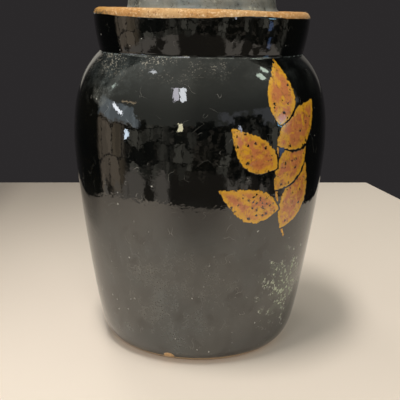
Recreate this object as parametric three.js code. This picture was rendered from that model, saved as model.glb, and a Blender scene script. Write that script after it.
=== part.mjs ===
// A lidded stoneware cookie jar, in millimetres, +Z up.
// The jar is one thrown body: a flat foot, a swelling wall, a round shoulder and a short flared collar.
// Inside the collar is a ledge, which potters call a gallery, and the domed lid rests on it.
// The origin is on the jar's axis, on the surface that the jar stands on.
import * as THREE from "three";
import { mergeVertices } from "three/addons/utils/BufferGeometryUtils.js";

// Foot and floor
const footRadius = 61;
const footRingWidth = 10;
const footRecess = 2;
const heelFlare = 12;
const heelHeight = 16;
const floorThickness = 9;
const floorFillet = 14;

// Wall and shoulder
const bellyRadius = 92;
const bellyHeight = 151.5;
const shoulderRise = 61;
const shoulderSlope = 45;
const neckRadius = 73.7;
const wallThickness = 7;

// Fullness of the curves: the share of the rise or swell for which each end keeps its own direction
const wallStartSwell = 0.3;
const wallStartRise = 0.14;
const wallEndRise = 0.165;
const shoulderStartRise = 0.35;
const shoulderEndLead = 0.41;
const collarStartSwell = 0.1;
const collarStartRise = 0.3;
const collarEndRise = 0.5;

// Collar, with its rounded lip
const collarHeight = 30;
const collarFlare = 3.1;
const collarThickness = 8;
const lipOuterRound = 4.8;
const lipInnerRound = 2;

// Gallery, the ledge inside the collar
const galleryDepth = 9;
const galleryWidth = 8.5;
const galleryThickness = 8;
const galleryEdgeRound = 1.5;

// Lid
const lidPlay = 1.4;
const seatGap = 0.3;
const flangeThickness = 7;
const flangeEdgeRound = 2;
const flangeShelf = 14.7;
const domeFillet = 4;
const domeHeight = 28;
const domeWall = 6.5;

// Knob
const knobNeckRadius = 8;
const knobNeckHeight = 5;
const knobNeckSweep = 5;
const knobRadius = 15.5;
const knobThickness = 18;

// Facets
const turnSteps = 64;
const wallSteps = 10;
const shoulderSteps = 9;
const collarSteps = 5;
const roundSteps = 4;
const domeSteps = 8;

// Heights and radii that follow from the sizes above
const heelRadius = footRadius + heelFlare;
const wallRise = bellyHeight - heelHeight;
const wallSwell = bellyRadius - heelRadius;
const neckHeight = bellyHeight + shoulderRise;
const rimHeight = neckHeight + collarHeight;
const rimRadius = neckRadius + collarFlare;
const galleryRadius = rimRadius - collarThickness;
const galleryTop = rimHeight - galleryDepth;
const mouthRadius = galleryRadius - galleryWidth;

// An outline is a list of points of radius and height.
const at = (radius, height) => new THREE.Vector2(radius, height);

const sweep = (start, startHandle, endHandle, end, steps) =>
  new THREE.CubicBezierCurve(start, startHandle, endHandle, end).getPoints(steps);

// Part of an ellipse between two angles in degrees, where 0 points outwards and 90 points up.
function arc(centre, radiusAcross, radiusUp, startAngle, endAngle, steps) {
  const start = THREE.MathUtils.degToRad(startAngle);
  const end = THREE.MathUtils.degToRad(endAngle);
  const clockwise = end < start;
  const ellipse = new THREE.EllipseCurve(centre.x, centre.y, radiusAcross, radiusUp, start, end, clockwise);
  return ellipse.getPoints(steps);
}

// The same line moved sideways by a depth, to the left of its direction of travel.
function inset(line, depth) {
  return line.map((here, i) => {
    const before = line[Math.max(i - 1, 0)];
    const after = line[Math.min(i + 1, line.length - 1)];
    const along = after.clone().sub(before).normalize();
    return at(here.x - along.y * depth, here.y + along.x * depth);
  });
}

// A solid of revolution. Its outline leaves the axis below, goes up the outside and comes back to the axis.
function turned(outline) {
  const tooClose = 0.01;
  const distinct = outline.filter((p, i) => i === 0 || p.distanceTo(outline[i - 1]) > tooClose);
  const lathe = new THREE.LatheGeometry(distinct, turnSteps);
  lathe.deleteAttribute("normal");
  lathe.deleteAttribute("uv");
  const solid = mergeVertices(lathe, tooClose / 10);
  const corners = solid.getIndex().array;
  const faces = [];
  for (let i = 0; i < corners.length; i += 3) {
    const [a, b, c] = corners.slice(i, i + 3);
    if (a !== b && b !== c && c !== a) faces.push(a, b, c);
  }
  solid.setIndex(faces);
  solid.rotateX(Math.PI / 2);
  solid.computeVertexNormals();
  return solid;
}

// Underneath, a shallow recess inside the ring that the jar stands on.
function footOutline() {
  const ringInner = footRadius - footRingWidth;
  return [at(0, footRecess), at(ringInner - footRecess, footRecess), at(ringInner, 0)];
}

// The rounded heel, from the foot ring up to the wall, which it meets in the wall's own direction.
function heelOutline() {
  const wallLean = (wallStartSwell * wallSwell) / (wallStartRise * wallRise);
  return sweep(
    at(footRadius, 0),
    at(footRadius + heelFlare / 2, heelHeight / 6),
    at(heelRadius - (wallLean * heelHeight) / 2, heelHeight / 2),
    at(heelRadius, heelHeight),
    roundSteps,
  );
}

// The wall swells from the heel, more slowly as it rises, and stands upright at the belly.
function wallOutline() {
  return sweep(
    at(heelRadius, heelHeight),
    at(heelRadius + wallStartSwell * wallSwell, heelHeight + wallStartRise * wallRise),
    at(bellyRadius, bellyHeight - wallEndRise * wallRise),
    at(bellyRadius, bellyHeight),
    wallSteps,
  );
}

// The shoulder turns in from the belly and meets the neck at a slope.
function shoulderOutline() {
  const slope = THREE.MathUtils.degToRad(shoulderSlope);
  const lead = shoulderEndLead * shoulderRise;
  return sweep(
    at(bellyRadius, bellyHeight),
    at(bellyRadius, bellyHeight + shoulderStartRise * shoulderRise),
    at(neckRadius + lead * Math.cos(slope), neckHeight - lead * Math.sin(slope)),
    at(neckRadius, neckHeight),
    shoulderSteps,
  );
}

// Above the crease at the neck, the collar flares out to a rounded lip.
function collarOutline() {
  const creaseHeight = 1;
  const lipCentre = at(rimRadius - lipOuterRound, rimHeight - lipOuterRound);
  const innerCentre = at(galleryRadius + lipInnerRound, rimHeight - lipInnerRound);
  const flareStart = at(neckRadius, neckHeight + creaseHeight);
  return [
    ...sweep(
      flareStart,
      at(neckRadius + collarStartSwell * collarFlare, flareStart.y + collarStartRise * collarHeight),
      at(rimRadius, lipCentre.y - collarEndRise * collarHeight),
      at(rimRadius, lipCentre.y),
      collarSteps,
    ),
    ...arc(lipCentre, lipOuterRound, lipOuterRound, 0, 90, roundSteps),
    ...arc(innerCentre, lipInnerRound, lipInnerRound, 90, 180, roundSteps / 2),
  ];
}

// The gallery's flat ledge, its rounded edge, and its underside that runs out into the shoulder.
function galleryOutline(shoulderEnd, shoulderHeading) {
  const edge = at(mouthRadius + galleryEdgeRound, galleryTop - galleryEdgeRound);
  const edgeBottom = at(mouthRadius, galleryTop - galleryThickness);
  const blend = 0.5 * edgeBottom.distanceTo(shoulderEnd);
  return [
    at(galleryRadius, galleryTop),
    ...arc(edge, galleryEdgeRound, galleryEdgeRound, 90, 180, roundSteps / 2),
    ...sweep(
      edgeBottom,
      at(edgeBottom.x, edgeBottom.y - blend),
      shoulderEnd.clone().addScaledVector(shoulderHeading, blend),
      shoulderEnd,
      roundSteps,
    ),
  ];
}

// The floor runs into the wall in one round sweep.
function floorOutline(wallFoot) {
  return [
    ...sweep(
      wallFoot,
      at(wallFoot.x - 1, floorThickness + floorFillet / 3),
      at(wallFoot.x - floorFillet / 3, floorThickness),
      at(wallFoot.x - floorFillet, floorThickness),
      roundSteps,
    ),
    at(0, floorThickness),
  ];
}

function jar() {
  const wall = wallOutline();
  const shoulder = shoulderOutline();
  const innerShoulder = inset(shoulder, wallThickness);
  const innerWall = inset(wall, wallThickness).filter((p) => p.y > floorThickness + floorFillet);
  const shoulderEnd = innerShoulder.at(-1);
  const heading = shoulderEnd.clone().sub(innerShoulder.at(-2)).normalize();
  return turned([
    ...footOutline(),
    ...heelOutline(),
    ...wall,
    ...shoulder,
    ...collarOutline(),
    ...galleryOutline(shoulderEnd, heading),
    ...innerShoulder.reverse(),
    ...innerWall.reverse(),
    ...floorOutline(innerWall.at(-1)),
  ]);
}

// The lid's own heights and radii, measured from its seat on the gallery
const seatHeight = galleryTop + seatGap;
const flangeRadius = galleryRadius - lidPlay;
const flangeTop = seatHeight + flangeThickness;
const domeRadius = flangeRadius - flangeShelf;
const domeBase = flangeTop + domeFillet;
const domeTop = domeBase + domeHeight;

// The lid is open below, so that it is no heavier at the middle than at its flange.
function lidHollowOutline() {
  const hollowHeight = domeTop - domeWall - seatHeight;
  return arc(at(0, seatHeight), domeRadius - domeWall, hollowHeight, 90, 0, domeSteps);
}

// The flange lies on the gallery, inside the collar.
function flangeOutline() {
  const edge = flangeRadius - flangeEdgeRound;
  const lower = at(edge, seatHeight + flangeEdgeRound);
  const upper = at(edge, flangeTop - flangeEdgeRound);
  return [
    ...arc(lower, flangeEdgeRound, flangeEdgeRound, -90, 0, roundSteps / 2),
    ...arc(upper, flangeEdgeRound, flangeEdgeRound, 0, 90, roundSteps / 2),
  ];
}

// The dome rises from a hollow fillet and runs up into the knob's neck.
function domeOutline() {
  const sweepStart = knobNeckRadius + knobNeckSweep;
  const sweepAngle = Math.acos(sweepStart / domeRadius);
  const sweepHeight = domeBase + domeHeight * Math.sin(sweepAngle);
  return [
    ...arc(at(domeRadius + domeFillet, domeBase), domeFillet, domeFillet, 270, 180, roundSteps),
    ...arc(at(0, domeBase), domeRadius, domeHeight, 0, THREE.MathUtils.radToDeg(sweepAngle), domeSteps),
    ...sweep(
      at(sweepStart, sweepHeight),
      at(knobNeckRadius + knobNeckSweep / 3, domeTop),
      at(knobNeckRadius, domeTop),
      at(knobNeckRadius, domeTop + knobNeckHeight),
      roundSteps,
    ),
  ];
}

// The knob is a flattened ball, a little fuller above its middle than below.
function knobOutline() {
  const bottom = domeTop + knobNeckHeight;
  const top = bottom + knobThickness;
  const middle = at(knobRadius, bottom + 0.55 * knobThickness);
  return [
    ...sweep(
      at(knobNeckRadius, bottom),
      at(knobRadius - 2, bottom),
      at(knobRadius, middle.y - 0.25 * knobThickness),
      middle,
      roundSteps,
    ),
    ...sweep(
      middle,
      at(knobRadius, top - 0.15 * knobThickness),
      at(0.6 * knobRadius, top),
      at(0, top),
      roundSteps + 1,
    ),
  ];
}

function lid() {
  return turned([...lidHollowOutline(), ...flangeOutline(), ...domeOutline(), ...knobOutline()]);
}

const glaze = () => new THREE.MeshStandardMaterial({ color: 0x0b0d0c, roughness: 0.08, metalness: 0 });

function piece(name, geometry) {
  const mesh = new THREE.Mesh(geometry, glaze());
  mesh.name = name;
  return mesh;
}

const cookieJar = new THREE.Group();
cookieJar.add(piece("jar", jar()), piece("lid", lid()));

export default cookieJar;
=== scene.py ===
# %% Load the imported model
import math
from functools import reduce

import bpy
from mathutils import Matrix, Vector
from mathutils.geometry import interpolate_bezier


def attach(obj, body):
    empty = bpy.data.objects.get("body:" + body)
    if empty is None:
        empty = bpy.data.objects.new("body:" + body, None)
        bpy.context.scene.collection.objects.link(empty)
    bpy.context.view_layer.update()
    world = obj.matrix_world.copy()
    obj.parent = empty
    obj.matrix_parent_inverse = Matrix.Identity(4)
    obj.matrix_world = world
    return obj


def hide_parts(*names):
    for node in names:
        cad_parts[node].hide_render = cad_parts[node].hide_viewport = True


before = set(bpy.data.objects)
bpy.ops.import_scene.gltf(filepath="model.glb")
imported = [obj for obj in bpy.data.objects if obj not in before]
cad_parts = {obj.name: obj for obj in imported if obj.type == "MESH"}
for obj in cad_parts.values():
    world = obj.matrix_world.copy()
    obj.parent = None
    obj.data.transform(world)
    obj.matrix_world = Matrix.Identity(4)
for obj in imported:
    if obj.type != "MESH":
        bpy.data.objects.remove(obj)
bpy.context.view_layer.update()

# %% [markdown]
# # A lidded stoneware jar with a black glaze
#
# The real object is two pieces of fired clay. The jar is thrown on a wheel, with a short flared collar
# whose lip is left bare. The lid rests on a ledge inside the collar. Everything here is in metres and in
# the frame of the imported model, but a potter's sizes are easier to read in millimetres, so each outline
# is written in millimetres and scaled once, when its mesh is made.

# %% Units and a clean selection
MM = 0.001


def select_nothing():
    bpy.ops.object.select_all(action="DESELECT")


def select_only(piece):
    select_nothing()
    piece.select_set(True)
    bpy.context.view_layer.objects.active = piece


def apply_modifier(piece, kind, name, **settings):
    select_only(piece)
    modifier = piece.modifiers.new(name, kind)
    for key, value in settings.items():
        setattr(modifier, key, value)
    bpy.ops.object.modifier_apply(modifier=modifier.name)


# %% [markdown]
# ## Camera
#
# The photograph was taken from a little above the jar's rim and looks slightly down, so the rim is seen
# on edge while the foot shows its curve. The camera's place was found by fitting the jar's outline to the
# photograph. It also leans by about a degree, which is why the rim falls to the right.

# %% Camera
camera_place = Vector((0.0, -0.5577, 0.2436))
camera_pitch = math.radians(14.26)
camera_roll = math.radians(1.01)
camera_yaw = math.radians(0.097)

camera = bpy.data.objects.new("camera", bpy.data.cameras.new("camera"))
bpy.context.scene.collection.objects.link(camera)
camera.data.sensor_width = 36.0
camera.data.lens = 68.4
camera.data.clip_start = 0.01
camera.matrix_world = (
    Matrix.Translation(camera_place)
    @ Matrix.Rotation(-camera_yaw, 4, "Z")
    @ Matrix.Rotation(math.radians(90) - camera_pitch, 4, "X")
    @ Matrix.Rotation(camera_roll, 4, "Z")
)
bpy.context.scene.camera = camera
print("camera at", tuple(round(c, 3) for c in camera.matrix_world.translation))

# %% [markdown]
# ## Table
#
# A glossy black pot shows its surroundings more than itself, so the table matters. In the lower half of
# the pot one sees the table as a grey sheet that ends at half height. A floor without end would run up
# to the shoulder. The table is therefore a slab of a real size: a flattened disc cut in half for the front
# edge, with its back half drawn out to the far edge that the photograph shows. That edge is narrower and
# stands a little askew, so that its right corner is in view.

# %% Table
table_radius, table_front, table_middle = 0.371, 0.318, 0.004
table_thickness, table_softness = 0.03, 0.003
far_edge_middle = Vector((-0.0225, 0.5034, -table_thickness / 2))
far_edge_length = 0.536
far_edge_turn = math.radians(4.4)

select_nothing()
bpy.ops.mesh.primitive_cylinder_add(
    vertices=128, radius=table_radius, depth=table_thickness, location=(table_middle, 0, -table_thickness / 2)
)
table = bpy.context.object
table.name = "table"
bpy.ops.object.mode_set(mode="EDIT")
bpy.ops.mesh.select_all(action="SELECT")
bpy.ops.transform.resize(value=(1, table_front / table_radius, 1), center_override=(0, 0, 0))
bpy.ops.mesh.bisect(plane_co=(0, 0, 0), plane_no=(0, 1, 0), clear_outer=True, use_fill=True)
bpy.ops.mesh.extrude_region_move(
    TRANSFORM_OT_translate={"value": (far_edge_middle.x - table_middle, far_edge_middle.y, 0)}
)
narrowing = far_edge_length / (2 * table_radius)
bpy.ops.transform.resize(value=(narrowing, 1, 1), center_override=far_edge_middle)
bpy.ops.transform.rotate(value=-far_edge_turn, orient_axis="Z", center_override=far_edge_middle)
bpy.ops.object.mode_set(mode="OBJECT")
bpy.ops.object.transform_apply(location=True, rotation=True, scale=True)
apply_modifier(table, "BEVEL", "softened edge", width=table_softness, segments=3, limit_method="ANGLE")
corner = max(table.data.vertices, key=lambda v: v.co.y).co
print("table:", [round(c, 3) for c in table.dimensions], "far corner", [round(c, 3) for c in corner])

# %% [markdown]
# ## Nodes without a mouse
#
# A material is a tree of nodes. It could be wired by hand in the node editor. Written down, it can be read
# and run again, and a few small helpers keep it short: one adds a node and fills or links its inputs, and
# the others each do one step, such as a product or a fade, and give back its result.


# %% Node helpers: one node each
def link(value, socket):
    value.id_data.links.new(value, socket)


def node(kind, inputs, tree=None, **settings):
    """Adds a node to the given tree, or to the one that its first linked input is in."""
    linked = [value for value in inputs.values() if isinstance(value, bpy.types.NodeSocket)]
    made = (tree or linked[0].id_data).nodes.new(kind)
    for key, value in settings.items():
        setattr(made, key, value)
    for key, value in inputs.items():
        socket = made.inputs[key]
        if isinstance(value, bpy.types.NodeSocket):
            link(value, socket)
        else:
            socket.default_value = (*value, 1) if socket.type == "RGBA" else value
    return made


def calc(operation, *values, clamp=False):
    inputs = dict(enumerate(values))
    return node("ShaderNodeMath", inputs, operation=operation, use_clamp=clamp).outputs[0]


def scaled(value, factor, shift):
    """value * factor + shift"""
    return calc("MULTIPLY_ADD", value, factor, shift)


def fade(value, start, end):
    """0 at start and before it, 1 at end and past it, with a smooth run between. End may be the lower."""
    inputs = {"Value": value, "From Min": start, "From Max": end}
    return node("ShaderNodeMapRange", inputs, interpolation_type="SMOOTHSTEP").outputs[0]


def blend(share, below, above):
    inputs = {0: share, 6: below, 7: above}
    return node("ShaderNodeMix", inputs, data_type="RGBA").outputs[2]


def noise(place, scale, detail=2.0, roughness=0.5, distortion=0.0):
    inputs = {"Vector": place, "Scale": scale, "Detail": detail, "Roughness": roughness,
              "Distortion": distortion}
    return node("ShaderNodeTexNoise", inputs).outputs[0]


def flat(x, y):
    """A point of a flat chart."""
    return node("ShaderNodeCombineXYZ", {"X": x, "Y": y}).outputs[0]


def stretched(place, scale):
    return node("ShaderNodeMapping", {"Vector": place, "Scale": scale}).outputs[0]


def distance(here, there):
    return node("ShaderNodeVectorMath", {0: here, 1: there}, operation="DISTANCE").outputs["Value"]


# %% Node helpers: more than one node
def times(*values):
    return reduce(lambda a, b: calc("MULTIPLY", a, b), values)


def most(*values):
    return reduce(lambda a, b: calc("MAXIMUM", a, b), values)


def ripple(*settings):
    """Noise that goes as far below zero as above it."""
    return calc("SUBTRACT", noise(*settings), 0.5)


def position(tree, kind="Object"):
    """The point that is shaded, whole and as three axes."""
    place = node("ShaderNodeTexCoord", {}, tree).outputs[kind]
    return place, node("ShaderNodeSeparateXYZ", {0: place}).outputs


def angle_round(axes):
    """The angle round the pot in radians, 0 towards the camera and growing to the right."""
    return calc("ARCTAN2", axes["X"], calc("MULTIPLY", axes["Y"], -1.0))


def raise_surface(height, shader, strength=1.0, depth=0.001):
    bump = node("ShaderNodeBump", {"Height": height, "Strength": strength, "Distance": depth})
    link(bump.outputs[0], shader["Normal"])


# %% Groups and materials
def group(name, inputs, *outputs):
    """A new shader node group with a place and other named sockets. Gives it, its inputs and its outputs."""
    tree = bpy.data.node_groups.new(name, "ShaderNodeTree")
    for title, default in {"Place": (0, 0, 0), **inputs}.items():
        kind = "NodeSocketFloat" if isinstance(default, float) else "NodeSocketVector"
        tree.interface.new_socket(title, in_out="INPUT", socket_type=kind).default_value = default
    for title in outputs:
        kind = "NodeSocketColor" if title == "Color" else "NodeSocketFloat"
        tree.interface.new_socket(title, in_out="OUTPUT", socket_type=kind)
    return tree, tree.nodes.new("NodeGroupInput").outputs, tree.nodes.new("NodeGroupOutput").inputs


def use(shared, **inputs):
    named = {key.replace("_", " "): value for key, value in inputs.items()}
    return node("ShaderNodeGroup", named, node_tree=shared).outputs


def material(piece, name):
    made = bpy.data.materials.new(name)
    made.use_nodes = True
    piece.data.materials.append(made)
    return made.node_tree, made.node_tree.nodes["Principled BSDF"].inputs


def count_nodes(title, tree):
    print(title + ":", len(tree.nodes), "nodes")


# %% [markdown]
# ## Surroundings
#
# The glaze mirrors whatever stands round the pot, so the surroundings are part of its look. A dark screen
# stands behind the table, and the room goes on above it and to its left, which gives the shoulder its
# thin pale outline. In front is a dim room of plain blocks, with a light wall on the left, under a grey
# ceiling that is brightest overhead and on the left. A world colour that changes with direction draws all
# of it. Lamps alone would leave black gaps between them, and an even grey would look like plastic, not
# glaze. The camera itself sees a plain dark backdrop, whichever side it looks from.
#
# Below, a pair of numbers is where a fade starts and ends: an angle round the pot, in radians, or how far
# up a direction points, from -1 to 1.

# %% Surroundings: blocks
black_gap, wall_gap = (0.01, 0.01, 0.01), (0.04, 0.035, 0.035)
gap_width, row_shift = 0.007, 0.37


def blocks(chart, size, dark, light, gap, bias):
    """Upright blocks in a range of shades between dark and light."""
    inputs = {"Vector": chart, "Color1": dark, "Color2": light, "Mortar": gap, "Scale": 1.0,
              "Mortar Size": gap_width, "Bias": bias, "Brick Width": size[0], "Row Height": size[1]}
    return node("ShaderNodeTexBrick", inputs, offset=row_shift).outputs["Color"]


# %% Surroundings: the direction that is looked in
world = bpy.data.worlds.new("dim room")
world.use_nodes = True
bpy.context.scene.world = world
bpy.context.scene.view_settings.view_transform = "Standard"
axes = position(world.node_tree, "Generated")[1]
angle, height = angle_round(axes), axes["Z"]
turn = calc("ABSOLUTE", angle)
print("world:", world.name)

# %% Surroundings: the room in front
cupboard_size, cupboard_shades = (0.19, 0.14), [(0.03, 0.03, 0.027), (0.50, 0.48, 0.40)]
thing_size, thing_shades = (0.075, 0.045), [(0.012, 0.012, 0.011), (0.30, 0.26, 0.21)]
wall_size, wall_dark, wall_shadow = (0.21, 0.24), (0.36, 0.28, 0.18), (0.06, 0.05, 0.045)
wall_brown, wall_blue = (0.62, 0.51, 0.39), (1.15, 1.38, 1.52)
ground_dark, ground_light = (0.07, 0.06, 0.05), (0.50, 0.45, 0.39)
wall_turns_blue, wall_end, wall_top_lean = (0.0, 0.05), (-1.32, -1.15), -0.25
ground_top, unevenness = (-0.37, -0.34), 0.3

uneven_height = calc("ADD", height, times(ripple(flat(angle, height), 2.5, 3), unevenness))
chart = flat(angle, uneven_height)
tall = fade(noise(stretched(chart, (5.5, 1.6, 1)), 1.0, 3), 0.45, 0.52)
tall = times(tall, scaled(fade(angle, -0.25, -0.6), -0.5, 1.0))
cupboards = blocks(chart, cupboard_size, *cupboard_shades, black_gap, -0.3)
things = blocks(chart, thing_size, *thing_shades, black_gap, -0.4)
upper = fade(uneven_height, *wall_turns_blue)
pale = blend(upper, wall_brown, wall_blue)
light_wall = blend(times(upper, 0.6), blocks(chart, wall_size, wall_dark, pale, wall_gap, 0.0), pale)
light_wall = blend(times(tall, 0.6), light_wall, wall_shadow)
past_wall = fade(scaled(upper, wall_top_lean, angle), *wall_end)
room = blend(past_wall, light_wall, blend(tall, cupboards, things))
clear = fade(noise(stretched(chart, (3.0, 4.5, 1)), 1.0, 3), 0.56, 0.51)
ground = blend(times(clear, fade(turn, 0.38, 0.5)), ground_dark, ground_light)
room = blend(fade(uneven_height, *ground_top), ground, room)
count_nodes("room in front", world.node_tree)

# %% Surroundings: the ceiling, down to a cornice that goes round the room in steps
ceiling_left = [(0.215, 0.218, 0.190), (0.47, 0.475, 0.42)]
ceiling_right = [(0.140, 0.143, 0.128), (0.29, 0.295, 0.262)]
shelf_colour, shelf_side, shelf_top = (0.33, 0.34, 0.36), (0.25, 0.35), (0.27, 0.24)
cornice_steps, cornice_drop, cornice_edge = 4.0, -0.16, (0.03, 0.06)
high_cornice_side, high_cornice = (-1.0, -1.1), 1.15

overhead = fade(height, 0.1, 0.9)
ceiling = blend(fade(angle, -0.45, 0.05), blend(overhead, *ceiling_left), blend(overhead, *ceiling_right))
patches = fade(noise(flat(angle, height), 6.0, 3), 0.40, 0.50)
ceiling = blend(times(fade(angle, *shelf_side), fade(height, *shelf_top), patches), ceiling, shelf_colour)
step = node("ShaderNodeTexVoronoi", {"W": angle, "Scale": cornice_steps}, voronoi_dimensions="1D")
pick = node("ShaderNodeSeparateColor", {0: step.outputs["Color"]}).outputs["Red"]
pick = most(pick, times(fade(angle, *high_cornice_side), high_cornice))
front = blend(fade(scaled(pick, cornice_drop, height), *cornice_edge), room, ceiling)
count_nodes("room and ceiling", world.node_tree)

# %% Surroundings: the screen behind, with the part of the room that shows past its top edge
screen_colour, screen_side, past_screen = (0.0245, 0.0225, 0.0235), (0.009, 0.009, 0.009), (0.50, 0.47, 0.41)
screen_start, screen_lightens, screen_top = (1.72, 1.80), (2.3, 2.8), (0.92, 0.80)
gap_start, gap_bottom, gap_top = (2.60, 2.74), (-0.02, 0.01), (0.60, 0.45)
gap_lifts, gap_lift = (2.80, 2.90), -0.05
right_share, left_share = 0.3, 1.0

screen = blend(fade(turn, *screen_lightens), screen_side, screen_colour)
gap_height = scaled(fade(turn, *gap_lifts), gap_lift, height)
side_share = scaled(calc("LESS_THAN", angle, 0.0), left_share - right_share, right_share)
gap = times(fade(gap_height, *gap_bottom), fade(height, *gap_top), fade(turn, *gap_start), side_share)
screen = blend(gap, screen, past_screen)
count_nodes("room, ceiling and screen", world.node_tree)

# %% Surroundings: all together
behind = times(fade(turn, *screen_start), fade(height, *screen_top))
seen = node("ShaderNodeLightPath", {}, world.node_tree).outputs["Is Camera Ray"]
surroundings = blend(seen, blend(behind, front, screen), screen_colour)
link(surroundings, world.node_tree.nodes["Background"].inputs["Color"])
count_nodes("surroundings", world.node_tree)

# %% [markdown]
# ## Lamps
#
# Two ceiling lamps hang over the table, to its left. The long bright one gives the short round shadow on
# the right, and the rear one is soft. A wide fill from the room's side keeps the table bright right up to
# the foot. None of the three is mirrored, so that the shoulder stays grey. A window with two panes and a
# number of small lamps far off are there for their reflections: glaze only looks wet where it shows crisp
# bright marks. They are so small that they hardly light the pot.


# %% Lamps that light the jar
def soft_panel(name, place, target, width, height, radiance, colour, lean=0):
    """An area lamp that faces a target and that the camera doesn't see."""
    lamp = bpy.data.lights.new(name, "AREA")
    lamp.shape = "RECTANGLE"
    lamp.size, lamp.size_y = width, height
    lamp.energy = radiance * math.pi * width * height
    lamp.color = colour
    panel = bpy.data.objects.new(name, lamp)
    bpy.context.scene.collection.objects.link(panel)
    panel.location = place
    panel.rotation_euler = (Vector(target) - Vector(place)).to_track_quat("-Z", "Y").to_euler()
    panel.rotation_euler.rotate_axis("Z", math.radians(lean))
    panel.visible_camera = False
    return panel


warm, day = (1.0, 0.965, 0.91), (0.92, 0.95, 1.0)
# Name, place, target, width, height, radiance.
near_lamps = [
    ("long_lamp", (-0.19, -0.31, 1.3), (-0.19, -0.31, 0), 0.15, 0.47, 48.5),
    ("rear_lamp", (-0.33, 0.45, 1.0), (-0.33, 0.45, 0), 0.15, 0.50, 8),
    ("fill", (0.30, -2.4, 1.1), (0, 0, 0.05), 0.9, 0.9, 9.5),
]
for settings in near_lamps:
    soft_panel(*settings, warm).visible_glossy = False
print("lamps that light the jar:", len(near_lamps))

# %% Lamps that are mirrored
shoulder = Vector((0, 0, 0.17))
lamp_distance = 3.0
# Name, azimuth (0 is the camera's side, 90 the viewer's right), elevation, width, height, radiance,
# colour, lean. The angles, with the width and the height as the jar sees them, are in degrees.
far_lamps = [
    ("window_left_pane", -24.9, 33, 4.2, 16, 4.2, (0.93, 0.9, 1.0), 14),
    ("window_right_pane", -17.6, 33, 4.6, 16, 6.5, day, 14),
    ("lamp_left_high", -67, 53, 5, 3, 4.5, day, 0),
    ("lamp_left", -78, 9, 2.8, 13, 7.5, day, 65),
    ("lamp_left_warm", -68, 17, 14, 1.3, 1.6, (1.0, 0.75, 0.45), 6),
    ("lamp_left_low", -66, -4, 3, 4, 8, (0.75, 0.87, 1.0), 0),
    ("lamp_left_side", -92, 25, 3, 5, 3, (0.85, 1.0, 0.88), -20),
    ("lamp_middle", -17, 2.5, 4.3, 7.5, 6, (1.0, 0.93, 0.62), 0),
    ("lamp_right", 75, 3, 7, 6, 5, (0.35, 0.72, 1.0), 0),
    ("lamp_right_low", 75, -9, 5, 5, 0.8, (0.3, 0.5, 1.0), 0),
    ("lamp_right_lower", 79, -18, 4, 6, 0.5, (0.25, 0.45, 1.0), 15),
    ("lamp_right_high", 77, 45, 6, 7, 4.5, (0.85, 1.0, 0.85), 0),
    ("lamp_right_higher", 92, 48, 5, 6, 4.5, (0.85, 1.0, 0.85), 0),
    ("lamp_right_middle", 34, -1, 2, 9, 3.5, (0.8, 0.85, 1.0), 0),
]
for name, azimuth, elevation, width, height, radiance, colour, lean in far_lamps:
    a, e = math.radians(azimuth), math.radians(elevation)
    away = Vector((math.sin(a) * math.cos(e), -math.cos(a) * math.cos(e), math.sin(e)))
    across, up = lamp_distance * math.radians(width), lamp_distance * math.radians(height)
    soft_panel(name, shoulder + lamp_distance * away, shoulder, across, up, radiance, colour, lean)

# %% [markdown]
# ## Table top
#
# The table is a pale, smooth, slightly matt board. In the photograph it gets darker towards its far left
# corner, and the pot's reflection shows that it is darker close in front and along its left edge too.
# This darkening is shade painted into the board's colour: lamps could give it, but then the light on the
# pot would change as well.

# %% Table top
# Painted shade: the board's colour darkens towards the far left corner, along the left edge and close in
# front.
board_pale, far_left_painted_shade = (0.80, 0.705, 0.615), (0.325, 0.28, 0.24)
left_edge_painted_shade, front_painted_shade = (0.12, 0.105, 0.09), (0.42, 0.36, 0.31)
front_middle, front_reach = (0.0, -0.34, 0), (0.05, 0.20)

tree, shader = material(table, "pale table top")
place, axes = position(tree)
far_left = scaled(axes["X"], -1.0, times(axes["Y"], 0.7))
board = blend(fade(far_left, 0.05, 0.60), board_pale, far_left_painted_shade)
left_edge_shade = times(fade(axes["X"], -0.225, -0.285), fade(axes["Y"], 0.0, 0.11), 0.5)
board = blend(left_edge_shade, board, left_edge_painted_shade)
clear_of_front_shade = fade(distance(place, front_middle), *front_reach)
link(blend(clear_of_front_shade, front_painted_shade, board), shader["Base Color"])
shader["Roughness"].default_value = 0.6
shader["Specular IOR Level"].default_value = 0.3
raise_surface(noise(place, 900), shader, strength=0.05, depth=0.0005)
count_nodes("table top", tree)

# %% [markdown]
# ## Turning a pot
#
# A potter pulls a wall up and shapes it against a rib, and every level is a circle. The same idea works
# here: one point is drawn along the pot's outline by extruding it step by step, and the line is then
# spun round the axis. A stack of cylinders or a subdivided primitive could give the shape too, but the
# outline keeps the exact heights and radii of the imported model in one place.


# %% Outline helpers
def at(radius, height):
    return Vector((radius, height))


def line(start, end, spacing):
    steps = max(1, round((end - start).length / spacing))
    return [start.lerp(end, i / steps) for i in range(steps + 1)]


def sweep(start, start_handle, end_handle, end, spacing):
    steps = max(3, round((end - start).length / spacing))
    return interpolate_bezier(start, start_handle, end_handle, end, steps + 1)


def arc(centre, across, up, start, end, steps):
    """Part of an ellipse between two angles in degrees, where 0 points outwards and 90 points up."""
    angles = [math.radians(start + (end - start) * i / steps) for i in range(steps + 1)]
    return [centre + at(across * math.cos(a), up * math.sin(a)) for a in angles]


def inset(outline, depth):
    """The same outline moved sideways by a depth, to the left of its direction of travel."""
    moved = []
    for i, here in enumerate(outline):
        along = (outline[min(i + 1, len(outline) - 1)] - outline[max(i - 1, 0)]).normalized()
        moved.append(here + depth * at(-along.y, along.x))
    return moved


# %% Spin an outline into a closed mesh
turn_steps = 176
shortest_step, merge_distance = 0.02, 0.002


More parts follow.
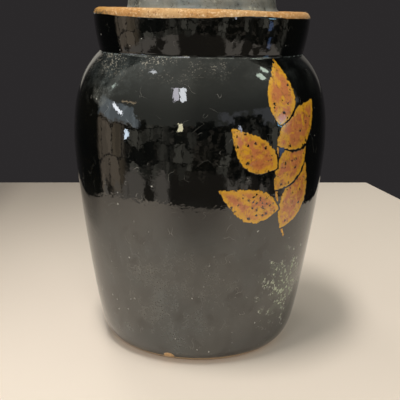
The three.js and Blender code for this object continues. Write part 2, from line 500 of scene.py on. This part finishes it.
def turned(name, outline):
    """Draws the outline from its first point to its last, both on the axis, and spins it round."""
    points = [outline[0]] + [p for p, q in zip(outline[1:], outline) if (p - q).length > shortest_step]
    select_nothing()
    bpy.ops.mesh.primitive_plane_add(size=0.001, location=(0, 0, points[0].y * MM))
    piece = bpy.context.object
    piece.name = piece.data.name = name
    bpy.ops.object.transform_apply(location=True, rotation=True, scale=True)
    bpy.ops.object.mode_set(mode="EDIT")
    bpy.ops.mesh.merge(type="CENTER")
    for here, there in zip(points, points[1:]):
        step = (there - here) * MM
        bpy.ops.mesh.extrude_region_move(TRANSFORM_OT_translate={"value": (step.x, 0, step.y)})
    bpy.ops.mesh.select_all(action="SELECT")
    bpy.ops.mesh.spin(steps=turn_steps, angle=math.tau, center=(0, 0, 0), axis=(0, 0, 1))
    bpy.ops.mesh.select_all(action="SELECT")
    bpy.ops.mesh.remove_doubles(threshold=merge_distance * MM)
    bpy.ops.mesh.normals_make_consistent(inside=False)
    bpy.ops.object.mode_set(mode="OBJECT")
    print(name, len(piece.data.polygons), "faces", [round(c, 4) for c in piece.dimensions])
    return piece


# %% [markdown]
# ## The jar's outline
#
# The outline starts under the foot, goes up the outside and comes back down the inside. It carries the
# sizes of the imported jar, but its crease is a little deeper: a flat foot ring, a rounded heel, a wall that
# swells ever more slowly, a round shoulder, a crease at the neck, a collar that flares most at its root and
# ends in a rounded lip, and the ledge for the lid.

# %% Jar sizes, in millimetres
foot_radius, foot_ring, foot_recess = 61.0, 10.0, 2.0
heel_radius, heel_height = 73.0, 16.0
floor_height, floor_fillet = 9.0, 14.0
belly_radius, belly_height = 92.0, 151.5
neck_radius, neck_height = 72.9, 212.5
neck_slope = math.radians(45)
wall_thickness = 7.0
rim_radius, rim_height = 76.8, 242.5
lip_outer, lip_inner = 4.8, 2.0
ledge_radius, ledge_height, ledge_edge = 68.8, 233.5, 1.5
mouth_radius, mouth_depth = 60.3, 8.0
skin_spacing = 1.3
print("jar:", 2 * belly_radius, "mm across and", rim_height, "mm tall")

# %% Jar outline: foot, heel, wall and shoulder
# The handles of the curves are shares of the wall's swell and rise and of the shoulder's rise, or
# millimetres.
wall_out, wall_up, wall_end_share = 0.3, 0.14, 0.165
shoulder_start_share, shoulder_end_share = 0.35, 0.41
heel_out, heel_up = 6.0, 2.67

heel, belly, neck = at(heel_radius, heel_height), at(belly_radius, belly_height), at(neck_radius, neck_height)
ring_inner = foot_radius - foot_ring
foot = line(at(0, foot_recess), at(ring_inner - foot_recess, foot_recess), spacing=8)
foot += line(at(ring_inner, 0), at(foot_radius, 0), spacing=3)
swell = at(wall_out * (belly - heel).x, wall_up * (belly - heel).y)
into_heel = at(swell.x / swell.y, 1) * heel_height / 2
foot += sweep(at(foot_radius, 0), at(foot_radius + heel_out, heel_up), heel - into_heel, heel, spacing=0.8)
wall = sweep(heel, heel + swell, belly - at(0, wall_end_share * (belly - heel).y), belly, skin_spacing)
into_neck = shoulder_end_share * (neck - belly).y * at(math.cos(neck_slope), -math.sin(neck_slope))
above_belly = belly + at(0, shoulder_start_share * (neck - belly).y)
over_shoulder = sweep(belly, above_belly, neck + into_neck, neck, skin_spacing)
print("jar outline:", len(foot + wall + over_shoulder), "points up to the neck")

# %% Jar outline: crease, collar, lip and ledge
crease_below, crease_above, crease_pull = 1.2, 1.0, 0.6
collar_out, collar_in, collar_up = 1.9, 0.2, 8.0

lip = at(rim_radius - lip_outer, rim_height - lip_outer)
before, after = neck + crease_below * into_neck.normalized(), neck + at(0, crease_above)
collar = sweep(before, before.lerp(neck, crease_pull), after.lerp(neck, crease_pull), after, spacing=0.3)
collar_start, collar_end = neck + at(collar_out, collar_up), at(rim_radius - collar_in, lip.y - collar_up)
collar += sweep(after, collar_start, collar_end, at(rim_radius, lip.y), skin_spacing)
collar += arc(lip, lip_outer, lip_outer, 0, 90, steps=8)
inner_lip = at(ledge_radius + lip_inner, rim_height - lip_inner)
collar += arc(inner_lip, lip_inner, lip_inner, 90, 180, steps=4)
collar += line(at(ledge_radius, inner_lip.y), at(ledge_radius, ledge_height), spacing=1.5)
edge = at(mouth_radius + ledge_edge, ledge_height - ledge_edge)
collar += line(at(ledge_radius, ledge_height), at(edge.x, ledge_height), spacing=1.5)
collar += arc(edge, ledge_edge, ledge_edge, 90, 180, steps=4)
print("jar outline:", len(collar), "points in the collar")

# %% Jar outline: the inside, a wall's thickness from the outer skin, and the whole
under_shoulder = inset(over_shoulder, wall_thickness)
inner_wall = [p for p in inset(wall, wall_thickness) if p.y > floor_height + floor_fillet]
end, low = under_shoulder[-1], inner_wall[0]
throat = at(mouth_radius, ledge_height - mouth_depth)
reach = 0.5 * (throat - end).length
into_end = reach * (end - under_shoulder[-2]).normalized()
inside = sweep(throat, throat - at(0, reach), end + into_end, end, spacing=1.5)
inside += under_shoulder[::-3] + inner_wall[::-3]
floor_start = at(low.x - floor_fillet, floor_height)
low_bend = at(low.x - 1, floor_height + floor_fillet / 3)
floor_bend = at(low.x - floor_fillet / 3, floor_height)
inside += sweep(low, low_bend, floor_bend, floor_start, spacing=1.5)
inside += line(floor_start, at(0, floor_height), spacing=6)
outer_shoulder = [p for p in over_shoulder if (p - neck).length > skin_spacing]
jar = turned("jar_body", foot + wall + outer_shoulder + collar + inside)

# %% [markdown]
# ## The lid's outline
#
# The lid is turned the same way: open below, with a flange that lies on the ledge, a low dome, and a
# flattened knob to lift it by. The photograph ends just above the rim, so the dome's top and the knob
# have the plain form that such lids have.

# %% Lid sizes, in millimetres
seat_height = 233.8
flange_radius, flange_top, flange_edge = 67.4, 240.8, 2.0
dome_fillet, dome_height, dome_wall = 4.0, 28.0, 6.5
dome_radius, dome_base = 52.7, 244.8
knob_neck_radius, knob_neck_height, knob_sweep = 8.0, 5.0, 5.0
knob_radius, knob_thickness = 15.5, 18.0
print("lid:", 2 * flange_radius, "mm across, in a ring of", 2 * ledge_radius, "mm")

# %% Lid outline: hollow, flange and dome
hollow_radius, dome_top = dome_radius - dome_wall, dome_base + dome_height
edge = flange_radius - flange_edge
fillet_middle = at(dome_radius + dome_fillet, dome_base)
flange = line(at(hollow_radius, seat_height), at(edge, seat_height), spacing=2)
flange += arc(at(edge, seat_height + flange_edge), flange_edge, flange_edge, -90, 0, steps=5)
flange += arc(at(edge, flange_top - flange_edge), flange_edge, flange_edge, 0, 90, steps=5)
flange += line(at(edge, flange_top), at(fillet_middle.x, flange_top), spacing=1.5)
hollow = arc(at(0, seat_height), hollow_radius, dome_top - dome_wall - seat_height, 90, 0, steps=24)
dome_end = math.acos((knob_neck_radius + knob_sweep) / dome_radius)
dome = arc(fillet_middle, dome_fillet, dome_fillet, 270, 180, steps=6)
dome += arc(at(0, dome_base), dome_radius, dome_height, 0, math.degrees(dome_end), steps=40)
print("lid outline:", len(hollow + flange + dome), "points up to the knob")

# %% Lid outline: knob
neck_foot = at(knob_neck_radius + knob_sweep, dome_base + dome_height * math.sin(dome_end))
neck_bend, neck_start = at(knob_neck_radius + knob_sweep / 3, dome_top), at(knob_neck_radius, dome_top)
bottom = dome_top + knob_neck_height
top, widest = bottom + knob_thickness, at(knob_radius, bottom + 0.55 * knob_thickness)
under_bend, under_widest = at(knob_radius - 2, bottom), widest - at(0, 0.25 * knob_thickness)
over_widest, top_bend = at(knob_radius, top - 0.15 * knob_thickness), at(0.6 * knob_radius, top)
knob = sweep(neck_foot, neck_bend, neck_start, at(knob_neck_radius, bottom), spacing=0.8)
knob += sweep(at(knob_neck_radius, bottom), under_bend, under_widest, widest, spacing=0.8)
knob += sweep(widest, over_widest, top_bend, at(0, top), spacing=0.9)
lid = turned("lid_body", hollow + flange + dome + knob)

# %% [markdown]
# ## Signs of the hand
#
# A lathe gives a perfect circle, and no thrown pot is one. The outer skin is moved inwards by up to half
# a millimetre with a soft cloud, which bends the reflections a little. The rim sags by a little more than
# a millimetre on the right, and the ledge sags with it.

# %% Unevenness of the outer skin
jar_cloud, jar_depth = 0.055, 0.55 * MM
lid_cloud, lid_depth = 0.03, 0.5 * MM


def uneven(piece, name, weight, cloud_size, depth):
    """Moves the outer skin in by a soft cloud, as far as weight(radius, height) in millimetres allows."""
    skin = piece.vertex_groups.new(name=name)
    for vertex in piece.data.vertices:
        radius = math.hypot(vertex.co.x, vertex.co.y) / MM
        share = weight(radius, vertex.co.z / MM)
        faces_out = vertex.normal.xy.dot(vertex.co.xy) > 0
        if share > 0 and faces_out:
            skin.add([vertex.index], min(share, 1.0), "REPLACE")
    cloud = bpy.data.textures.new(name, "CLOUDS")
    cloud.noise_scale = cloud_size
    apply_modifier(
        piece, "DISPLACE", name, texture=cloud, texture_coords="LOCAL", direction="NORMAL",
        strength=depth, mid_level=0.85, vertex_group=skin.name,
    )


def jar_skin(radius, height):
    """Nothing at the foot's lowest 4 mm, at the rim and inside it."""
    return min((height - 4) / 16, (rim_height - height) / 8) if radius > ledge_radius else 0


def lid_skin(radius, height):
    """Nothing on the flange and at the very middle of the knob."""
    return (height - flange_top) / 6 if radius > 3 else 0


uneven(jar, "thrown by hand", jar_skin, jar_cloud, jar_depth)
uneven(lid, "lid thrown by hand", lid_skin, lid_cloud, lid_depth)
print("lid up to", round(max(v.co.z for v in lid.data.vertices), 5))

# %% Rim, low on the right
sag_start, sag_end = 45, 150
sag_depth, sag_reach = 1.2 * MM, 0.05

select_only(jar)
bpy.ops.object.mode_set(mode="EDIT")
bpy.ops.mesh.select_all(action="DESELECT")
bpy.ops.object.mode_set(mode="OBJECT")
for vertex in jar.data.vertices:
    azimuth = math.degrees(math.atan2(vertex.co.x, -vertex.co.y))
    vertex.select = vertex.co.z > (rim_height - 2) * MM and sag_start < azimuth < sag_end
bpy.ops.object.mode_set(mode="EDIT")
bpy.ops.transform.translate(
    value=(0, 0, -sag_depth), use_proportional_edit=True, proportional_edit_falloff="SMOOTH",
    proportional_size=sag_reach, use_proportional_connected=True,
)
bpy.ops.object.mode_set(mode="OBJECT")
heights = [v.co.z for v in jar.data.vertices]
print("jar from", round(min(heights), 5), "to", round(max(heights), 5))

# %% [markdown]
# ## A chip at the foot
#
# The foot has one small chip, where the pot was knocked and the pale clay shows. A lump is cut out with
# a boolean. Its cutter is a rough ball, so that the break has facets instead of a smooth bowl.

# %% Chip
chip_azimuth = math.radians(-16.5)
chip_radius, chip_height, chip_size = 67.6, 4.3, 3.4
chip_place = Vector(
    (math.sin(chip_azimuth) * chip_radius, -math.cos(chip_azimuth) * chip_radius, chip_height)
) * MM
break_grain, break_depth = 1.6 * MM, 1.2 * MM

select_nothing()
bpy.ops.mesh.primitive_ico_sphere_add(subdivisions=3, radius=chip_size * MM, location=chip_place)
cutter = bpy.context.object
cutter.name = "chip_cutter"
bpy.ops.transform.resize(value=(1.0, 0.5, 0.6), center_override=chip_place)
bpy.ops.transform.rotate(value=-chip_azimuth, orient_axis="Z", center_override=chip_place)
bpy.ops.object.transform_apply(location=True, rotation=True, scale=True)
rough = bpy.data.textures.new("broken clay", "CLOUDS")
rough.noise_scale = break_grain
apply_modifier(cutter, "DISPLACE", "broken clay", texture=rough, strength=break_depth, mid_level=0.5)
apply_modifier(jar, "BOOLEAN", "chip", object=cutter, operation="DIFFERENCE", solver="EXACT")
bpy.data.objects.remove(cutter)
print("jar after the chip:", len(jar.data.polygons), "faces")

# %% [markdown]
# ## Smooth shading
#
# Glaze flows into a smooth skin, so the faces are shaded as one surface. Edges sharper than a set angle,
# as round the chip, stay crisp. Smoothing every edge would blur them.

# %% Smooth shading
sharp_from = math.radians(40)
for piece in (jar, lid):
    select_only(piece)
    bpy.ops.object.shade_smooth_by_angle(angle=sharp_from)
    print(piece.name, "is smooth up to", round(math.degrees(sharp_from)), "degrees")

# %% [markdown]
# ## Specks and worn places
#
# Old glaze carries small things: pits, grains of dust, nicks that show the clay. They are all scattered
# dots, so one group makes them. It divides space into cells, keeps only some of the cells, and puts one
# ragged dot in each of those. Where dust, stains or pits gather, a second group marks a ball in space,
# whose edge a cloud breaks up. Both could be painted on by hand, but these need no unwrapped skin.

# %% Shared group: specks
specks, given, result = group("scattered specks", {"Per metre": 300.0, "Size": 0.25, "Share": 0.2}, "Mask")
cells = node("ShaderNodeTexVoronoi", {"Vector": given["Place"], "Scale": given["Per metre"]})
pick = node("ShaderNodeSeparateColor", {0: cells.outputs["Color"]})
ragged = scaled(ripple(given["Place"], 1100, 3, 0.7), 5.0, 1.0)
size = times(given["Size"], pick.outputs["Green"], ragged)
kept = calc("LESS_THAN", pick.outputs["Red"], given["Share"])
link(times(calc("LESS_THAN", cells.outputs["Distance"], size), kept), result["Mask"])
count_nodes("specks", specks)


def dots(place, per_metre, size, share):
    return use(specks, Place=place, Per_metre=per_metre, Size=size, Share=share)["Mask"]


# %% Shared group: a worn place, 1 at its middle and 0 from its reach on, with a cloudy edge
worn_place, given, result = group("worn place", {"Middle": (0, 0, 0), "Reach": 0.01, "Cloudy": 0.5}, "Mask")
share = calc("DIVIDE", distance(given["Place"], given["Middle"]), given["Reach"])
broken = scaled(times(ripple(given["Place"], 140, 3), 2.0), given["Cloudy"], share)
link(fade(broken, 1.0, 0.35), result["Mask"])
count_nodes("worn place", worn_place)


def worn(place, middle, reach, cloudy):
    return use(worn_place, Place=place, Middle=middle, Reach=reach, Cloudy=cloudy)["Mask"]


# %% [markdown]
# ## Bare clay
#
# Buff stoneware is sandy: pale grains, rusty iron spots and small dark ones, over a slow drift of colour
# between straw and orange. The grain also roughens the surface.

# %% Shared group: bare clay
clay_straw, clay_orange = (0.52, 0.32, 0.145), (0.46, 0.22, 0.062)
clay_sand, clay_iron, iron_dots = (0.74, 0.52, 0.30), (0.24, 0.10, 0.03), (620.0, 0.5, 0.36)

bare_clay, given, result = group("bare clay", {}, "Color", "Height")
place = given["Place"]
grain = noise(place, 640, 3, 0.65)
clay = blend(fade(noise(place, 35, 3), 0.35, 0.65), clay_straw, clay_orange)
clay = blend(fade(grain, 0.5, 0.68), clay, clay_sand)
link(blend(times(dots(place, *iron_dots), 0.7), clay, clay_iron), result["Color"])
link(grain, result["Height"])
count_nodes("bare clay", bare_clay)

# %% [markdown]
# ## The glaze film
#
# The black glaze is a glass nearly without colour of its own, greenish where it pools and brown where it
# thins. Age has left a grey haze of fine scratches and dust on it, heaviest on the shoulder and low
# down. Three noises of different size make it uneven: drawn-out streaks, a fine grain and slow clouds. The
# haze lifts the black and dulls the shine.

# %% Shared group: glaze film
glass_green, glass_brown = (0.0005, 0.0008, 0.0007), (0.0025, 0.0025, 0.0016)
haze_cool, haze_warm = (0.18, 0.205, 0.20), (0.20, 0.203, 0.182)
grain_share, streak_share, cloud_share, haze_start = 1.1, 0.8, 1.0, -0.95
wet_roughness, haze_roughness = 0.035, 0.5

glaze_film, given, result = group("black glaze film", {"Dust": 0.2}, "Color", "Roughness", "Height")
place = given["Place"]
pool = noise(place, 22, 3)
glass = blend(fade(pool, 0.35, 0.7), glass_green, glass_brown)
streaks = noise(stretched(place, (1, 1, 0.22)), 150, 4, 0.6)
haze = scaled(streaks, streak_share, scaled(noise(place, 520, 4, 0.7), grain_share, haze_start))
haze = scaled(noise(place, 60, 4, 0.6), cloud_share, haze)
haze = calc("MULTIPLY", haze, given["Dust"], clamp=True)
link(blend(haze, glass, blend(fade(pool, 0.4, 0.6), haze_cool, haze_warm)), result["Color"])
link(scaled(haze, haze_roughness, wet_roughness), result["Roughness"])
link(noise(place, 260, 2), result["Height"])
count_nodes("glaze film", glaze_film)

# %% [markdown]
# ## Brushwork
#
# The jar is decorated on its right side with amber brushwork. Here it is a plain spray of leaves on a
# bent stem. It could be an image or cut-out shapes laid on the glaze, but a brushed leaf is simple to
# write down: it is as wide as the brush is pressed, so its edge is a curve that closes at both ends.
# The wall is unrolled for it: one axis runs round the belly and the other up. Each new leaf clears a thin
# dark gap round itself in what was painted before, as a careful brush leaves between two strokes.

# %% Shared group: brushed leaf
leaf_taper, leaf_least_width = -0.38, 0.3
leaf_parts = {"Mask": (0.0, 0.06), "Halo": (-0.16, -0.10), "Edge": (0.08, 0.45)}

brushed_leaf, given, result = group(
    "brushed leaf",
    {"Ragged": 0.0, "Middle": (0, 0, 0), "Turn": (0, 0, 0), "Half size": (0.02, 0.008, 1), "Bend": 0.2},
    *leaf_parts,
)
leaf = node(
    "ShaderNodeMapping",
    {"Vector": given["Place"], "Location": given["Middle"], "Rotation": given["Turn"],
     "Scale": given["Half size"]},
    vector_type="TEXTURE",
)
axes = node("ShaderNodeSeparateXYZ", {0: leaf.outputs[0]}).outputs
square = times(axes["X"], axes["X"])
taper = most(scaled(axes["X"], leaf_taper, 1.0), leaf_least_width)
full = times(calc("SUBTRACT", 1.0, square), taper)
off_middle = calc("ABSOLUTE", scaled(square, given["Bend"], axes["Y"]))
inside = calc("ADD", calc("SUBTRACT", full, off_middle), given["Ragged"])
for title, run in leaf_parts.items():
    link(fade(inside, *run), result[title])
count_nodes("brushed leaf", brushed_leaf)

# %% Where the leaves sit
# The stem is part of a circle on the unrolled wall. Leaves leave it in turn to the left and the right,
# and their lean, length and width each change a little from leaf to leaf.
unroll_radius = 90 * MM
stem_middle = Vector((163, 148)) * MM
stem_radius = 111 * MM
stem_start, stem_end = 207.0, 169.0
leaf_count, leaf_stalk, leaf_bend = 6, 1.5 * MM, 0.28
leaf_lean, leaf_length, leaf_shorter, leaf_width = 46, 26.0, 4.0, 0.50
lean_change, length_change, width_change = (6, 2.1), (1.5, 3.7), (0.05, 5.3)


def change(i, amount, pace):
    return amount * math.sin(pace * i)


leaves = []
for i in range(leaf_count):
    share = i / (leaf_count - 1)
    angle = math.radians(stem_start + (stem_end - stem_start) * share)
    root = stem_middle + stem_radius * Vector((math.cos(angle), math.sin(angle)))
    side = 0 if share == 1 else (1 if i % 2 else -1)
    heading = angle - math.radians(90) + side * math.radians(leaf_lean + change(i, *lean_change))
    length = (leaf_length - leaf_shorter * share + change(i, *length_change)) * MM
    half_size = Vector((length, length * (leaf_width + change(i, *width_change)), 1))
    middle = root + (length + leaf_stalk) * Vector((math.cos(heading), math.sin(heading)))
    leaves.append((middle, heading, half_size, leaf_bend * side))
    print("leaf at", [round(c / MM) for c in middle], "heading", round(math.degrees(heading)))

# %% Shared group: the whole spray, its shape
stem_edge, stem_wobble = (0.0010, 0.0007), 0.0012
stem_bottom, stem_top, stem_side = (0.093, 0.096), (0.195, 0.192), 0.1
leaf_ragged, stem_rust, lost_dots = 0.35, 0.3, (430.0, 0.5, 0.24)

leaf_spray, given, result = group("leaf spray", {}, "Mask", "Color")
place = given["Place"]
axes = node("ShaderNodeSeparateXYZ", {0: place}).outputs
round_wall = times(angle_round(axes), unroll_radius)
unrolled = flat(round_wall, axes["Z"])
wobble = ripple(place, 380, 4, 0.6)
off_stem = calc("ABSOLUTE", calc("SUBTRACT", distance(unrolled, (*stem_middle, 0)), stem_radius))
mask = times(
    fade(scaled(wobble, stem_wobble, off_stem), *stem_edge), fade(axes["Z"], *stem_bottom),
    fade(axes["Z"], *stem_top), calc("LESS_THAN", round_wall, stem_side),
)
rust = stem_rust
for middle, heading, half_size, bend in leaves:
    leaf = use(
        brushed_leaf, Place=unrolled, Ragged=times(wobble, leaf_ragged), Middle=(*middle, 0),
        Turn=(0, 0, heading), Half_size=half_size, Bend=bend,
    )
    outside = calc("SUBTRACT", 1.0, leaf["Halo"])
    mask = most(times(mask, outside), leaf["Mask"])
    rust = most(times(outside, rust), leaf["Edge"])
link(times(mask, calc("SUBTRACT", 1.0, dots(place, *lost_dots))), result["Mask"])
count_nodes("leaf spray, its shape", leaf_spray)

# %% Shared group: the whole spray, its colours
paint_amber, paint_rust = (0.66, 0.33, 0.014), (0.50, 0.155, 0.045)
paint_brown, paint_pale = (0.17, 0.055, 0.012), (0.72, 0.40, 0.06)

rust = times(rust, fade(noise(place, 160, 3, 0.6, 0.6), 0.34, 0.55))
brown = times(fade(noise(place, 330, 4, 0.65), 0.52, 0.66), 0.55)
pale = times(fade(noise(place, 420, 3), 0.5, 0.75), 0.35)
paint = blend(brown, blend(rust, paint_amber, paint_rust), paint_brown)
link(blend(pale, paint, paint_pale), result["Color"])
count_nodes("leaf spray", leaf_spray)

# %% [markdown]
# ## The jar's finish
#
# One material covers the jar, and masks decide what shows at each point: clay at the lip, in the gallery,
# under the foot and in the chip, black glaze elsewhere, and the brushwork over it. The glaze was wiped
# from the lip by hand, so its edge wavers. Separate materials on separate faces would cut that edge along
# the mesh. Lengths and heights are in metres. A worn place is its middle, its reach and how cloudy its
# edge is, and a kind of dots is how many cells a metre has, the dots' size and the share of cells used.

# %% Jar material: where clay shows
glaze_edge, glaze_wander, glaze_swing, glaze_waves = 0.2374, 0.0028, 0.0007, 4.0
gallery_reach, gallery_clay = 0.0715, (0.2316, 0.2319)
foot_glaze, foot_wander, recess_reach, recess_top = (0.0039, 0.0036), -0.0012, 0.055, 0.004
chip_clay = (chip_place, 0.0052, 0.1)

tree, shader = material(jar, "jar finish")
place, axes = position(tree)
height, angle = axes["Z"], angle_round(axes)
radius = distance(flat(axes["X"], axes["Y"]), (0, 0, 0))
wander = ripple(place, 45, 3)
swing = calc("SINE", times(angle, glaze_waves))
glaze_line = scaled(swing, glaze_swing, scaled(wander, glaze_wander, glaze_edge))
above_glaze = calc("SUBTRACT", height, glaze_line)
in_gallery = times(calc("LESS_THAN", radius, gallery_reach), fade(height, *gallery_clay))
foot_clay = fade(scaled(wander, foot_wander, height), *foot_glaze)
in_recess = times(calc("LESS_THAN", radius, recess_reach), calc("LESS_THAN", height, recess_top))
in_chip = calc("GREATER_THAN", worn(place, *chip_clay), 0.35)
clay_mask = most(fade(above_glaze, 0.0, 0.0003), in_gallery, foot_clay, in_recess, in_chip)
count_nodes("jar finish, where clay shows", tree)

# %% Jar material: stains on the clay
lip_stain, stain_tint = ((-0.072, -0.024, 0.2380), 0.034, 0.3), (0.42, 0.20, 0.03)
smudge_top, smudge_tint, foot_tint = (0.0034, 0.0020), (0.03, 0.03, 0.015), (0.36, 0.27, 0.17)

clay = use(bare_clay, Place=place)
stain = worn(place, *lip_stain)
smudge = times(fade(noise(place, 480, 3), 0.47, 0.52), fade(above_glaze, *smudge_top), stain, 0.95)
stained = blend(times(stain, 0.8), clay["Color"], stain_tint)
stained = blend(times(foot_clay, 0.7), stained, foot_tint)
stained = blend(smudge, stained, smudge_tint)
count_nodes("jar finish with stains", tree)

# %% Jar material: dust, in six patches, each a mask and how thick it lies there, three of them partly painted light and shade
crease, crease_dust_and_highlight_line, shoulder_dust = (0.2130, 0.2126), (0.2118, 0.2122), (0.182, 0.210)
low_dust, low_dust_side_shade = (0.130, 0.075), (0.075, -0.03)
edge_dust_and_sheen_front, edge_dust_and_sheen_back, edge_dust_and_sheen_bottom = (-1.33, -1.48), (-2.0, -1.8), (0.165, 0.185)
crease_dust, side_dust = ((-0.058, -0.050, 0.209), 0.034, 0.7), ((-0.064, -0.058, 0.187), 0.009, 1.0)
least_dust = 0.003

below_crease = fade(height, *crease)
scuffed = fade(noise(place, 85, 3, 0.55), 0.60, 0.68)
# Low down the dust thins towards the right; the thinning is painted shade, which darkens the lower right.
low = times(
    fade(height, *low_dust), scaled(fade(axes["X"], *low_dust_side_shade), 0.5, 0.5), scaled(scuffed, -0.8, 1.0)
)
blotches = fade(noise(place, 48, 5, 0.65), 0.38, 0.66)
on_shoulder = times(fade(height, *shoulder_dust), below_crease, blotches)
# Dust in the crease, drawn as a thin pale line just under it that is also a painted highlight along the
# crease.
crease_dust_and_highlight = times(fade(height, *crease_dust_and_highlight_line), below_crease, fade(noise(place, 150, 3), 0.42, 0.6))
left_of_crease = times(worn(place, *crease_dust), below_crease)
# Dust in a band along the shoulder's left outline: partly dust, partly a painted sheen on that edge.
left_outline_dust_and_sheen = times(fade(angle, *edge_dust_and_sheen_front), fade(angle, *edge_dust_and_sheen_back))
left_outline_dust_and_sheen = times(left_outline_dust_and_sheen, fade(height, *edge_dust_and_sheen_bottom), below_crease)
dust_and_painted_light = least_dust
for mask, amount in (
    (low, 0.31), (on_shoulder, 0.16), (crease_dust_and_highlight, 1.0), (left_of_crease, 0.24), (left_outline_dust_and_sheen, 0.9),
    (worn(place, *side_dust), 0.5),
):
    dust_and_painted_light = scaled(mask, amount, dust_and_painted_light)
film = use(glaze_film, Place=place, Dust=dust_and_painted_light)
count_nodes("jar finish with dust", tree)

# %% Jar material: brushwork, grime, grit, pits and scratches on the glaze
grime_dots, grime_height, grime_side = (900.0, 0.65, 0.62), (0.194, 0.212), (0.04, -0.03)
stray_dots, grit_dots, grit_top = (130.0, 0.085, 0.16), (300.0, 0.14, 0.5), (0.13, 0.07)
pit_dots, pitted_wall = (480.0, 0.8, 0.5), ((0.061, -0.051, 0.055), 0.026, 1.7)
pitted_tint, grime_tint, scratch_tint = (0.09, 0.11, 0.075), (0.36, 0.33, 0.27), (0.30, 0.29, 0.26)
nick_tint, pit_tint, scratch_width = (0.50, 0.49, 0.45), (0.42, 0.46, 0.33), 0.0016

grime = times(dots(place, *grime_dots), fade(height, *grime_height), below_crease)
grime = times(grime, fade(axes["X"], *grime_side), fade(noise(place, 60, 4, 0.6), 0.41, 0.60), 0.75)
gritty = times(fade(noise(place, 26, 3), 0.51, 0.58), fade(height, *grit_top))
pitted = worn(place, *pitted_wall)
pits = times(dots(place, *pit_dots), pitted)
nicks = most(dots(place, *stray_dots), times(dots(place, *grit_dots), gritty), pits)
hairline = calc("ABSOLUTE", ripple(place, 55, 2, 0.6, 0.3))
scratch = times(calc("LESS_THAN", hairline, scratch_width), fade(noise(place, 90, 2), 0.56, 0.66), 0.6)
spray = use(leaf_spray, Place=place)
glazed = blend(spray["Mask"], film["Color"], spray["Color"])
glazed = blend(times(pitted, 0.4), glazed, pitted_tint)
glazed = blend(grime, glazed, grime_tint)
glazed = blend(nicks, glazed, blend(pitted, nick_tint, pit_tint))
glazed = blend(scratch, glazed, scratch_tint)
count_nodes("jar finish with brushwork and pits", tree)

# %% Jar material: all together
glaze_ior = 1.9
paint_roughness, nick_roughness, clay_roughness = 0.18, 0.6, 0.85
film_relief, paint_relief, nick_relief, clay_relief = 0.06, 0.10, -0.3, 0.35

link(blend(clay_mask, glazed, stained), shader["Base Color"])
roughness = scaled(spray["Mask"], paint_roughness, film["Roughness"])
roughness = most(roughness, times(nicks, nick_roughness), times(clay_mask, clay_roughness))
link(roughness, shader["Roughness"])
relief = scaled(spray["Mask"], paint_relief, times(film["Height"], film_relief))
relief = scaled(nicks, nick_relief, relief)
relief = scaled(clay_mask, scaled(clay["Height"], clay_relief, -clay_relief), relief)
raise_surface(relief, shader)
shader["IOR"].default_value = glaze_ior
count_nodes("jar finish", tree)

# %% [markdown]
# ## The lid's finish
#
# The lid has the same glaze but far more dust, because it lies uppermost. The dust is greyish in some
# places and brownish in others, and wiped away in a few, where the dark glaze shows. The flange is bare
# beneath and at its edge, so that it couldn't stick to the jar in the kiln. The jar's material could have
# covered the lid too, but its masks would then need a second set of heights.

# %% Lid material
flange_glaze, flange_wander, hollow_reach = (0.2394, 0.2390), 0.0015, 0.0465
lid_dust, wet_dust, lid_film_relief = 1.4, -0.75, 0.15
lid_grit, grit_tint, brown_dust = (260.0, 0.3, 0.3), (0.5, 0.48, 0.38), (0.27, 0.245, 0.19)

tree, shader = material(lid, "lid finish")
place, axes = position(tree)
radius = distance(flat(axes["X"], axes["Y"]), (0, 0, 0))
below_glaze = fade(scaled(ripple(place, 60, 3), flange_wander, axes["Z"]), *flange_glaze)
clay_mask = times(below_glaze, calc("GREATER_THAN", radius, hollow_reach))
wet = fade(noise(place, 34, 4, 0.6), 0.53, 0.62)
film = use(glaze_film, Place=place, Dust=scaled(wet, wet_dust, lid_dust))
clay = use(bare_clay, Place=place)
brownish = times(fade(noise(place, 38, 4, 0.6), 0.40, 0.62), 0.5)
glazed = blend(brownish, film["Color"], brown_dust)
glazed = blend(times(dots(place, *lid_grit), 0.5), glazed, grit_tint)
link(blend(clay_mask, glazed, clay["Color"]), shader["Base Color"])
link(most(film["Roughness"], times(clay_mask, clay_roughness)), shader["Roughness"])
relief = scaled(clay_mask, times(clay["Height"], clay_relief), times(film["Height"], lid_film_relief))
raise_surface(relief, shader)
shader["IOR"].default_value = glaze_ior
count_nodes("lid finish", tree)

# %% [markdown]
# ## Joining the imported model
#
# Each turned piece stands for its node of the imported model and moves with that node's body. The imported
# solids stay for collision.

# %% Frame
for piece, node_name in ((jar, "jar"), (lid, "lid")):
    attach(piece, node_name)
    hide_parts(node_name)
    print(piece.name, "stands for", node_name)
